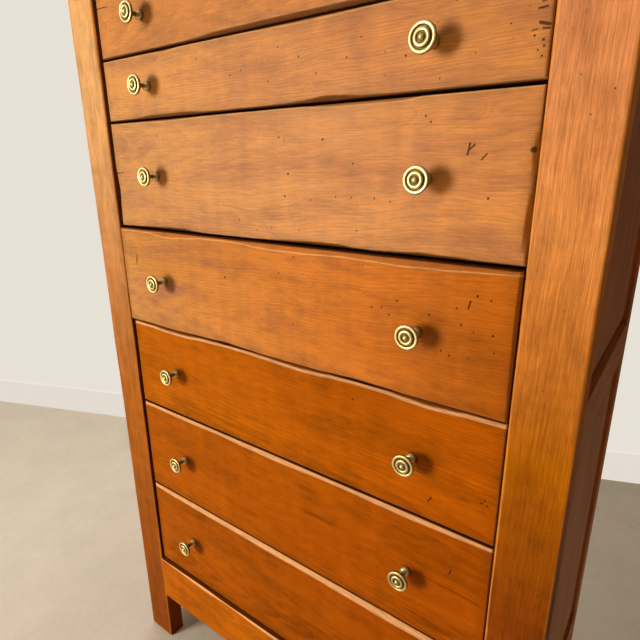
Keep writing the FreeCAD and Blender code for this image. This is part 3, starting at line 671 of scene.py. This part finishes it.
def knob_profile(length):
    """From the spindle's end to the top of the dome; heights are measured from the wood."""
    dome, ring, rim = length, length - 1.7, length - 3.0
    return np.concatenate([
        straight((0, -SPINDLE[1], 0.5), (1.8, -SPINDLE[1], 0.5), (SPINDLE[0], -SPINDLE[1] + 0.8, 0.5),
                 (SPINDLE[0], 0.0, 1.0), (7.2, 0.0, 1.0)),
        arc(3.0, 1.3, 4.5, 1.3, -88, 0, 4, (1.0, 0.6)),
        arc(3.0, 1.3, 4.5, 6.4, 8, 84, 14, (0.35, 0.0)),
        arc(2.9, 8.5, 0.9, 0.75, -60, 60, 6, (0.6, 0.3)),
        straight((2.9, 9.4, 1.0), (2.75, 11.0, 0.9), (2.8, 13.0, 0.9), (3.1, 15.0, 1.0)),
        arc(10.9, 15.2, -7.6, 6.0, 12, 88, 9, (0.8, 0.9)),
        straight((12.0, rim - 4.9, 0.9)),
        arc(12.7, rim - 2.35, 2.3, 2.35, -84, 0, 8, (1.0, 0.9)),
        groove_patina(arc(13.1, rim - 1.9, 1.9, 1.9, 8, 88, 9, (0, 0)), rim, 1.5),
        groove_patina(straight((12.6, rim - 0.02, 0), (12.2, rim - 0.1, 0)), rim, 2),
        groove_patina(arc(12.2, rim - 1.45, 1.3, 1.35, 96, 172, 7, (0, 0)), rim, 0.9),
        straight((10.5, rim - 1.75, 1.0), (9.9, rim - 1.8, 1.0), (9.35, rim - 1.75, 1.0)),
        groove_patina(arc(7.6, ring - 1.9, 1.6, 1.8, 10, 84, 8, (0, 0)), ring, 1.4),
        groove_patina(straight((7.4, ring - 0.03, 0), (7.1, ring, 0), (6.8, ring - 0.03, 0)), ring, 2),
        groove_patina(arc(6.7, ring - 1.5, 1.5, 1.4, 96, 172, 8, (0, 0)), ring, 1.0),
        straight((4.9, ring - 1.75, 1.0), (4.3, ring - 1.8, 1.0), (3.7, ring - 1.7, 1.0)),
        groove_patina(arc(0, dome - 3.5, 3.5, 3.5, 14, 86, 12, (0, 0)), dome, 3.2),
        straight((0, dome, 0))])


def turned(profile, centre, turns=KNOB_TURNS):
    """Carry a profile round the Y axis: (x + r·cos t, y - h, z + r·sin t), closed at both poles."""
    t = 2 * pi * np.arange(turns) / turns
    inner = profile[1:-1]
    radius = inner[:, :1]
    height = np.repeat(inner[:, 1:2], turns, axis=1)
    rings = np.stack([centre[0] + radius * np.cos(t), centre[1] - height,
                      centre[2] + radius * np.sin(t)], axis=-1).reshape(-1, 3)
    poles = np.array([[centre[0], centre[1] - profile[0, 1], centre[2]],
                      [centre[0], centre[1] - profile[-1, 1], centre[2]]])
    count = len(inner)
    turn = np.arange(turns)
    after = (turn + 1) % turns
    row = np.arange(count - 1)[:, None] * turns
    sides = np.stack([row + turn, row + turns + turn, row + turns + after, row + after], axis=-1)
    first, last = count * turns, count * turns + 1
    start = np.stack([np.full(turns, first), turn, after], axis=1)
    top = (count - 1) * turns
    end = np.stack([np.full(turns, last), top + after, top + turn], axis=1)
    faces = sides.reshape(-1, 4).tolist() + start.tolist() + end.tolist()
    patina = np.concatenate([np.repeat(inner[:, 2], turns), [profile[0, 2], profile[-1, 2]]])
    return np.concatenate([rings, poles]), faces, patina


def gathered(parts):
    """Several closed parts as one: their points, faces and marks."""
    points, faces, marks = [], [], []
    count = 0
    for part_points, part_faces, part_marks in parts:
        faces += [[corner + count for corner in face] for face in part_faces]
        points.append(part_points)
        marks.append(part_marks)
        count += len(part_points)
    return np.concatenate(points), faces, np.concatenate(marks)


print("lathe ready")

# %% [markdown]
# ## How each edge was bevelled
#
# The upper fronts have narrow bevels below and above. The lower ones were dished along the top, up
# to 12 mm wide and a quarter as deep, so that light catches them. Each edge is a short list of
# places and widths.

# %% The widths along the edges
def even(low, high, width):
    """An edge with nearly the same bevel from end to end."""
    third = (high - low) / 3
    return [(low, width * 1.1), (low + third, width * 0.9), (high - third, width * 1.05), (high, width)]


BEVELS = {
    1: dict(top=[(-348, 3), (-200, 2), (-60, 4), (90, 2.5), (230, 4), (348, 3)],
            bottom=[(-348, 2.5), (-150, 2), (-60, 5), (60, 5.5), (130, 5), (200, 3), (348, 2.5)]),
    2: dict(top=[(-348, 1.5), (-230, 2), (-190, 3.5), (-150, 1.5), (-40, 2), (20, 3), (60, 3.5),
                 (110, 3), (170, 2), (348, 2)],
            bottom=[(-348, 1), (-280, 1.8), (-231, 4.7), (-170, 4.7), (-84, 2), (30, 2), (63, 3.5),
                    (102, 6.4), (127, 5.2), (153, 3), (200, 2), (348, 2)]),
    3: dict(top=[(-348, 2), (-270, 2.5), (-200, 3.6), (-140, 2.5), (-110, 1.2), (60, 1.2), (85, 3),
                 (120, 4.3), (200, 4.3), (235, 1.5), (348, 1.2)],
            bottom=[(-348, 0.6), (-300, 1.6), (-250, 3.4), (-210, 4.6), (-180, 4.4), (-150, 2),
                    (-130, 0.7), (-30, 0.7), (0, 1.6), (40, 3.2), (77, 4.6), (117, 4.5), (145, 2.2),
                    (170, 1.6), (200, 2.8), (232, 4.2), (270, 3.4), (300, 2.2), (348, 1.6)],
            left=[(957, 2.5), (990, 4.5), (1015, 7), (1035, 5), (1060, 2.5), (1125, 3)],
            right=[(957, 2.5), (970, 3), (985, 7), (1000, 6.5), (1020, 5.5), (1038, 2.5), (1052, 5),
                   (1065, 6), (1075, 5), (1085, 2.5), (1100, 1.5), (1125, 1.5)]),
    4: dict(top=[(-348, 5), (-325, 4), (-275, 4.5), (-214, 9.5), (-175, 7.5), (-135, 4.5), (-90, 4),
                 (-52, 4.7), (-15, 7.8), (20, 8.8), (63, 8.8), (131, 7), (170, 8), (206, 9.2),
                 (260, 8.5), (310, 6.5), (348, 5)],
            bottom=[(-348, 1), (-300, 2), (-230, 1), (-130, 3), (-95, 5), (-60, 3), (0, 1), (90, 1),
                    (125, 3), (150, 4), (190, 3), (230, 1.5), (348, 1.2)],
            right=[(784, 3), (850, 4), (900, 4.5), (953, 4)]),
    5: dict(top=[(-348, 6.5), (-300, 7), (-250, 9), (-205, 9), (-150, 6), (-100, 5), (-60, 5),
                 (-20, 6.5), (25, 8), (52, 8.7), (80, 8), (112, 5.8), (150, 4.7), (190, 5.2),
                 (222, 7.5), (252, 9.2), (280, 8), (302, 6.3), (348, 6)]),
    6: dict(top=[(-348, 6), (-210, 7), (-135, 6), (-60, 8), (-10, 9), (30, 8), (90, 6), (140, 6),
                 (190, 7.5), (240, 8), (290, 6.5), (348, 5)]),
    7: dict(top=[(-348, 7), (-285, 9), (-200, 10), (-110, 10), (-35, 11), (50, 10), (150, 11),
                 (200, 12), (260, 11), (348, 8)]),
}
LIT_REACH = {5: 3.2}     # the fourth front stands proud and shades the deep parts of the fifth's bevel
RAIL_TOP = [(-350, 2.5), (-290, 4), (-200, 7), (-150, 3), (-60, 6), (40, 8), (140, 5), (240, 8), (350, 4)]
SLOPES = {"top": 0.25, "bottom": 0.95, "left": 0.7, "right": 0.7}
print("edges listed for", len(BEVELS), "fronts and the rail")

# %% Fronts and knobs
def make_front(number):
    """Carve one drawer front and cut the joints for its sides and its bottom."""
    node = f"drawer_{number}_front"
    low, high = corners(node)
    bevels = {"left": even(low[2], high[2], 3), "right": even(low[2], high[2], 2.4),
              "bottom": even(low[0], high[0], 1.3)}
    bevels.update(BEVELS[number])
    points, faces, marks = carved_block(low, high, bevels, SLOPES, seed=number,
                                        lit_reach=LIT_REACH.get(number, ALL_LIT))
    piece = make_piece(f"drawer_{number}_carved_front", points, faces, f"drawer_{number}",
                       FRONT_WOOD[number], [node])
    mark_bevels(piece, marks)
    tools = [tool_from_node(f"drawer_{number}_{part}", high[0])
             for part in ("side_left", "side_right", "bottom")]
    cut_from(piece, tools)
    return piece


def make_knobs(number):
    """Turn both knobs of one drawer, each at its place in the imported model."""
    node = f"drawer_{number}_knobs"
    low, high = corners(node)
    face = corners(f"drawer_{number}_front")[0][1]
    radius = (high[2] - low[2]) / 2
    profile = knob_profile(face - low[1])
    middle = (low[2] + high[2]) / 2
    centres = [(low[0] + radius, face, middle), (high[0] - radius, face, middle)]
    points, faces, patina = gathered([turned(profile, centre) for centre in centres])
    piece = make_piece(f"drawer_{number}_turned_knobs", points, faces, f"drawer_{number}",
                       BRASS, [node])
    layer = piece.data.attributes.new("patina", "FLOAT", "POINT")
    layer.data.foreach_set("value", patina.astype(np.float32))
    return piece


for number in FRONTS:
    front = make_front(number)
    knobs = make_knobs(number)
    print(front.name, len(front.data.polygons), "faces;", knobs.name, len(knobs.data.polygons))

# %% [markdown]
# ## The bottom rail
#
# It is flush with the posts, and its upper edge was dished like those of the fronts. It is carved
# by the same function. Its tenons are in the posts and never seen, so they are plain blocks
# that overlap it.

# %% The carved bottom rail
def plain_block(low, high):
    """The eight corners and six faces of a box, with no bevel on it."""
    points = np.array([[x, y, z] for z in (low[2], high[2]) for y in (low[1], high[1])
                       for x in (low[0], high[0])])
    faces = [[0, 2, 3, 1], [4, 5, 7, 6], [0, 1, 5, 4], [2, 6, 7, 3], [0, 4, 6, 2], [1, 3, 7, 5]]
    return points, faces, np.zeros((8, len(BEVEL_MARKS)))


POST_FACE = 350.0       # half the clear width between the front posts
TENON_HALF, SHOULDER, LAP = 5.0, 12.0, 1.0      # half its thickness, its step from the edges, its overlap
low, high = corners("rail_front_bottom")
rail_low = np.array([-POST_FACE, low[1], low[2]])
rail_high = np.array([POST_FACE, high[1], high[2]])
rail_bevels = {"left": even(low[2], high[2], 0.5), "right": even(low[2], high[2], 0.5),
               "bottom": even(low[0], high[0], 2.5), "top": RAIL_TOP}
middle = (low[1] + high[1]) / 2
tenons = [plain_block((start, middle - TENON_HALF, low[2] + SHOULDER),
                      (end, middle + TENON_HALF, high[2] - SHOULDER))
          for start, end in ((low[0], LAP - POST_FACE), (POST_FACE - LAP, high[0]))]
# Its darker tone paints the shade low down, and its bevel tones paint light and shade
RAIL_WOOD = wooden("cherry_bottom_rail", "xzy", (0.56, 0.145, 0.003), (0.41, 0.086, 0.001), 11.3,
                   pith=(0.10, -0.06), tilt=(0.02, 0.03), specular=0.02, bevels=LOWER)
carved = carved_block(rail_low, rail_high, rail_bevels, SLOPES, seed=31)
points, faces, marks = gathered([carved] + tenons)
rail = make_piece("rail_front_bottom_carved", points, faces, "carcass", RAIL_WOOD,
                  ["rail_front_bottom"])
mark_bevels(rail, marks)
print(rail.name, len(rail.data.polygons), "faces")

# %% [markdown]
# ## The front posts
#
# Hands, knees and a broom have worn the front edges of the posts, so they are carved like the
# fronts, with a narrow bevel that wanders. Their mortises are filled by the rails' tenons, so each
# post is left whole and the tenons overlap it inside. Each post has a few fades along its height,
# which paint light: darker and warmer towards the foot, paler high up.

# %% The front posts
POST_SLOPES = {"top": 0.8, "bottom": 1.0, "left": 0.75, "right": 0.75}
# The bevel tones paint light and shade: darkest in the gap beside the drawers, with a painted highlight
# along the crest
POST_WOOD = dict(specular=0.04, smoky=0.62, bend=0.25, wave=0.5, mottle=0.5, holes=0.25,
                 bevels=((0.40, 0.11, 0.008), (0.05, 0.012, 0.001), (0.62, 0.20, 0.02),
                         (0.85, 0.38, 0.09)))
# The fades paint light: darker and warmer towards the foot, paler and bluer high up
POST_LOOKS = {
    "left": dict(pith=(-0.30, -0.09), tilt=(0.01, 0.02), pale=(0.70, 0.24, 0.035),
                 deep=(0.52, 0.155, 0.014), seed=21.5,
                 fades=[(0.0, 0.6, 1.2, (0.42, 0.28, 0.0), (0.60, 0.50, 0.30)),
                        (0.6, 1.2, 1.3, (1, 1, 1), (1.9, 3.6, 17.5))]),
    "right": dict(pith=(0.30, -0.07), tilt=(0.02, -0.02), pale=(0.76, 0.23, 0.03),
                  deep=(0.58, 0.15, 0.01), smoke=(0.47, 0.118, 0.011), seed=22.5,
                  fades=[(0.5, 0.98, 1.4, (0.36, 0.25, 1), (1.15, 1.28, 1)),
                         (0.74, 0.98, 1.4, (1, 1, 0.04), (1, 1.17, 3.3)),
                         (0.9, 1.35, 1.4, (1, 1, 1), (1.0, 1.07, 2.6))]),
}


def worn_edge(low, high, seed):
    """Widths of a bevel along an edge: one knot every 90 mm or so, each 1.4 to 3.2 mm wide."""
    places = np.linspace(low, high, int((high - low) / 90) + 1)
    return list(zip(places, np.random.default_rng(seed).uniform(1.4, 3.2, len(places))))


for seed, (side, look) in enumerate(POST_LOOKS.items(), start=61):
    low, high = corners(f"post_front_{side}")
    bevels = {"left": worn_edge(low[2], high[2], seed), "right": worn_edge(low[2], high[2], seed + 10),
              "bottom": even(low[0], high[0], 4), "top": even(low[0], high[0], 0.5)}
    inner = {"left": "right", "right": "left"}[side]
    # painted shade in the gap beside the drawers, on the inner edge only
    points, faces, marks = carved_block(low, high, bevels, POST_SLOPES, seed, waviness=0.2,
                                        shaded_edges=(inner,))
    marks[:, 1] *= points[:, 2] > corners("rail_front_bottom")[0][2]      # no painted gap shade on the feet
    material = wooden(f"cherry_post_{side}", "zxy", **POST_WOOD, **look)
    post = make_piece(f"post_front_{side}_worn", points, faces, "carcass", material,
                      [f"post_front_{side}"])
    mark_bevels(post, marks)
    eased = post.modifiers.new("eased", "BEVEL")
    eased.width, eased.segments, eased.limit_method = 1.5 * MM, 2, "ANGLE"
    eased.angle_limit = radians(60)
    print(post.name, len(post.data.polygons), "faces")

# %% [markdown]
# ## Plain boards
#
# The other boards are plain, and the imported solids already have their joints. A solid comes as loose
# triangles with knife edges. Welding the triangles, dissolving those that lie in one plane and
# rounding the edges a little gives a planed and sanded board, and the mesh itself isn't touched.

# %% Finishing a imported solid
def planed(node, material, edge):
    """Weld a node's triangles, merge those in one plane and take the sharpness off its edges."""
    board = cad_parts[node]
    weld = board.modifiers.new("weld", "WELD")
    weld.merge_threshold = WELD_WITHIN
    flat = board.modifiers.new("flat", "DECIMATE")
    flat.decimate_type, flat.angle_limit = "DISSOLVE", radians(0.5)
    eased = board.modifiers.new("eased", "BEVEL")
    eased.width, eased.segments, eased.limit_method = edge * MM, 2, "ANGLE"
    eased.angle_limit = radians(40)
    board.data.materials.clear()
    board.data.materials.append(material)


def cherry(name, grain, seed, **more):
    """Cherry for a carcass board."""
    return wooden(name, grain, seed=seed, pale=(0.55, 0.17, 0.02), deep=(0.40, 0.10, 0.008), mottle=0.2,
                  smoky=0.45, **more)


def poplar(name, grain, seed):
    """Unfinished poplar for what nobody sees with the drawers shut."""
    return wooden(name, grain, seed=seed, pale=(0.60, 0.44, 0.26), deep=(0.50, 0.34, 0.17),
                  smoke=(0.46, 0.32, 0.17), ring=0.14, rough=0.7, pore=0.15, specular=0.2)


cherry_boards = {
    "post_rear_left": cherry("cherry_post_rear_left", "zxy", 23.4, pith=(-0.5, 0.3)),
    "post_rear_right": cherry("cherry_post_rear_right", "zxy", 24.8, pith=(0.5, 0.3)),
    "rail_front_top": cherry("cherry_top_rail", "xzy", 25.2, pith=(1.4, -0.05)),
    "side_rails_left": cherry("cherry_side_rails_left", "yzx", 26.9, pith=(0.7, -0.5)),
    "side_rails_right": cherry("cherry_side_rails_right", "yzx", 27.5, pith=(0.7, 0.5)),
    "side_panels_left": cherry("cherry_panels_left", "zyx", 28.1, pith=(0.0, -0.5), tilt=(0.01, 0.05)),
    "side_panels_right": cherry("cherry_panels_right", "zyx", 29.7, pith=(0.02, 0.5), tilt=(0.01, 0.05)),
    "top_board": cherry("cherry_top_board", "xyz", 30.3, pith=(0.0, 1.30), tilt=(0.03, 0.02)),
}
for node, material in cherry_boards.items():
    planed(node, material, edge=1.0)

poplar_boards = {
    "back_rails": poplar("poplar_back_rails", "xzy", 41.2),
    "back_boards": poplar("poplar_back_boards", "zxy", 42.7),
    "bottom_board": poplar("poplar_bottom_board", "xyz", 43.1),
    "drawer_runners": poplar("poplar_runners", "yxz", 44.9),
    "drawer_guides": poplar("poplar_guides", "yxz", 45.3),
    "drawer_stops": poplar("poplar_stops", "yxz", 46.6),
}
for node, material in poplar_boards.items():
    planed(node, material, edge=0.6)

drawer_woods = {"side_left": poplar("poplar_sides_left", "yzx", 51.2),
                "side_right": poplar("poplar_sides_right", "yzx", 52.9),
                "back": poplar("poplar_drawer_backs", "xzy", 53.4),
                "bottom": poplar("poplar_drawer_bottoms", "xyz", 54.8)}
for number in FRONTS:
    for part, material in drawer_woods.items():
        planed(f"drawer_{number}_{part}", material, edge=0.4)
planed("back_nails", IRON, edge=0.4)
print("boards finished:", len(cherry_boards) + len(poplar_boards) + 4 * len(FRONTS) + 1)

# %% [markdown]
# ## Floor, wall and light
#
# The chest stands on a pale floor in front of a pale wall. The wall is there for the camera only,
# and only from its front, so it neither darkens the back of the chest nor hides it. For the camera
# the far floor fades to a flat pale tone. A large soft window at the front left gives the knobs
# their soft shadows, a weak lamp overhead and a broad one at the ceiling fill in, and the world
# gives the rest: an even glow, which gloss sees brighter towards the window and the ceiling.

# %% The stage
FLOOR_COLOUR, FLOOR_CLOUDS = (0.86, 0.76, 0.61, 1), (0.78, 0.69, 0.555, 1)
FAR_FLOOR_COLOUR = (0.60, 0.53, 0.43, 1)
FADE_START, FADE_END = 1.6, 4.5      # metres from the middle, over which the floor turns flat
FLOOR_REACH = 6
WALL_COLOUR = (0.80, 0.75, 0.67, 1)


def flat_sheet(name, outline, material):
    """One flat face through the given corners."""
    mesh = bpy.data.meshes.new(name)
    mesh.from_pydata(outline, [], [tuple(range(len(outline)))])
    mesh.materials.append(material)
    sheet = bpy.data.objects.new(name, mesh)
    bpy.context.scene.collection.objects.link(sheet)


def floor_finish():
    """Cloudy screed near the chest, and a flat tone for the camera further out."""
    ground = Recipe("pale_screed")
    spot = ground.step("TexCoord", give="Object")
    cloud = ground.noise(ground.scale(spot, 7.0), 4.0, 0.6)
    grain = ground.noise(ground.scale(spot, 60.0), 3.0, 0.6)
    broad = ground.noise(ground.scale(spot, 2.3), 3.0, 0.6).between(0.3, 0.7)
    colour = ground.mix(cloud.between(0.3, 0.7), FLOOR_COLOUR, FLOOR_CLOUDS)
    colour = ground.scale(colour, 0.90 + grain * 0.14 + broad * 0.05)
    x, y, _ = ground.place()
    far = (x * x + y * y).root().between(FADE_START, FADE_END)
    near = ground.step("BsdfPrincipled", None, {"Base Color": colour, "Roughness": 0.6 + grain * 0.1,
                                                "Specular IOR Level": 0.3})
    pale = ground.step("Emission", None, {"Color": FAR_FLOOR_COLOUR, "Strength": 1.0})
    seen = ground.step("LightPath", give="Is Camera Ray")
    ground.step_output(ground.step("MixShader", None, {0: far * seen, 1: near, 2: pale}))
    return ground.material


def camera_glow(name, colour):
    """A flat colour that only the camera sees, and only from the front."""
    paint = Recipe(name)
    seen = paint.step("LightPath", give="Is Camera Ray")
    behind = paint.step("NewGeometry", give="Backfacing")
    shown = seen * (1.0 - behind)
    clear = paint.step("BsdfTransparent")
    glow = paint.step("Emission", None, {"Color": colour, "Strength": 1.0})
    paint.step_output(paint.step("MixShader", None, {0: shown, 1: clear, 2: glow}))
    return paint.material


floor = [(x * FLOOR_REACH, y * FLOOR_REACH, 0) for x, y in ((-1, -1), (1, -1), (1, 1), (-1, 1))]
flat_sheet("floor", floor, floor_finish())
WALL_ENDS = ((-3.4, -0.43), (2.6, 1.97))
WALL_STRIPS = {"wall": (0.119, 3.0, WALL_COLOUR), "skirting_edge": (0.109, 0.119, (0.84, 0.79, 0.71, 1)),
               "skirting": (0.0, 0.109, (0.77, 0.71, 0.63, 1))}      # lower edge, upper edge and colour
for name, (bottom, top, colour) in WALL_STRIPS.items():
    outline = [(x, y, z) for z, ends in ((bottom, WALL_ENDS), (top, WALL_ENDS[::-1])) for x, y in ends]
    flat_sheet(name, outline, camera_glow(f"pale_{name}", colour))
print("a floor and a wall in", len(WALL_STRIPS), "strips")

# %% Light
WORLD_LIGHT = (0.115, 0.083, 0.055, 1)
GLOSS_DARK, GLOSS_BRIGHT = (0.09, 0.08, 0.07, 1), (0.56, 0.53, 0.48, 1)
BRIGHT_SIDE = (-0.55, -0.35, 0.76)      # the direction of the window and the ceiling together
LAMPS = {
    "window": dict(place=(-1.75, -3.1, 1.15), target=(0.0, -0.2, 0.95), size=(1.1, 1.2),
                   power=109.0, colour=(1.0, 0.96, 0.90)),
    "overhead": dict(place=(-0.4, -1.3, 2.6), target=(-0.2, -0.3, 0.6), size=(1.6, 1.2),
                     power=6.0, colour=(1.0, 0.98, 0.95)),
    "ceiling": dict(place=(-1.1, 0.5, 2.7), target=(-1.1, 0.5, 0.0), size=(2.6, 1.4),
                    power=31.0, colour=(1.0, 0.97, 0.92)),
}


def world_light():
    """A plain glow all round. The gloss sees it brighter towards the window and the ceiling."""
    room = Recipe("room", bpy.data.worlds.new("room"))
    bpy.context.scene.world = room.material
    x, y, z = room.place()
    towards = x * BRIGHT_SIDE[0] + y * BRIGHT_SIDE[1] + z * BRIGHT_SIDE[2]
    sheen = room.mix(towards.between(-0.35, 0.85), GLOSS_DARK, GLOSS_BRIGHT)
    light = room.step("Background", None, {"Color": WORLD_LIGHT})
    for ray, colour in (("Is Glossy Ray", sheen), ("Is Transmission Ray", WALL_COLOUR),
                        ("Is Camera Ray", WALL_COLOUR)):
        seen = room.step("LightPath", give=ray)
        shown = room.step("Background", None, {"Color": colour})
        light = room.step("MixShader", None, {0: seen, 1: light, 2: shown})
    room.step_output(light, "ShaderNodeOutputWorld")


def soft_window(name, place, target, size, power, colour):
    """A rectangular area light that faces a spot."""
    lamp = bpy.data.lights.new(name, "AREA")
    lamp.shape, lamp.size, lamp.size_y = "RECTANGLE", *size
    lamp.energy, lamp.color = power, colour
    window = bpy.data.objects.new(name, lamp)
    bpy.context.scene.collection.objects.link(window)
    window.location = place
    window.rotation_euler = (Vector(target) - Vector(place)).to_track_quat("-Z", "Y").to_euler()


world_light()
for name, lamp in LAMPS.items():
    soft_window(name, **lamp)
print(len(LAMPS), "lamps and the world's glow")

# %% [markdown]
# ## The camera
#
# It stands close to the chest's right side, a little over a metre up, and looks down and to the left.
# Its three axes follow from the yaw, the pitch and a slight roll.

# %% Camera
LENS = 28.24
SENSOR = 36.0
EYE = Vector((0.47705, corners("post_front_left")[0][1] * MM - 0.51576, 1.0584))
YAW, PITCH, ROLL = radians(36.553), radians(-17.310), radians(-0.566)


def camera_axes(yaw, pitch, roll):
    """Right, up and backward of a camera.

    It looks along (-sin yaw·cos pitch, cos yaw·cos pitch, sin pitch), and the roll turns it round that.
    """
    ahead = Vector((-sin(yaw) * cos(pitch), cos(yaw) * cos(pitch), sin(pitch)))
    level = Vector((cos(yaw), sin(yaw), 0))
    upright = level.cross(ahead)
    right = level * cos(roll) + upright * sin(roll)
    up = upright * cos(roll) - level * sin(roll)
    return right, up, -ahead


lens = bpy.data.cameras.new("camera")
lens.lens, lens.sensor_width, lens.sensor_fit = LENS, SENSOR, "HORIZONTAL"
lens.clip_start = 0.01
camera = bpy.data.objects.new("camera", lens)
bpy.context.scene.collection.objects.link(camera)
turn = Matrix(camera_axes(YAW, PITCH, ROLL)).transposed().to_4x4()
camera.matrix_world = Matrix.Translation(EYE) @ turn
bpy.context.scene.camera = camera
bpy.context.scene.view_settings.view_transform = "Standard"
print("camera at", [round(value, 3) for value in EYE])
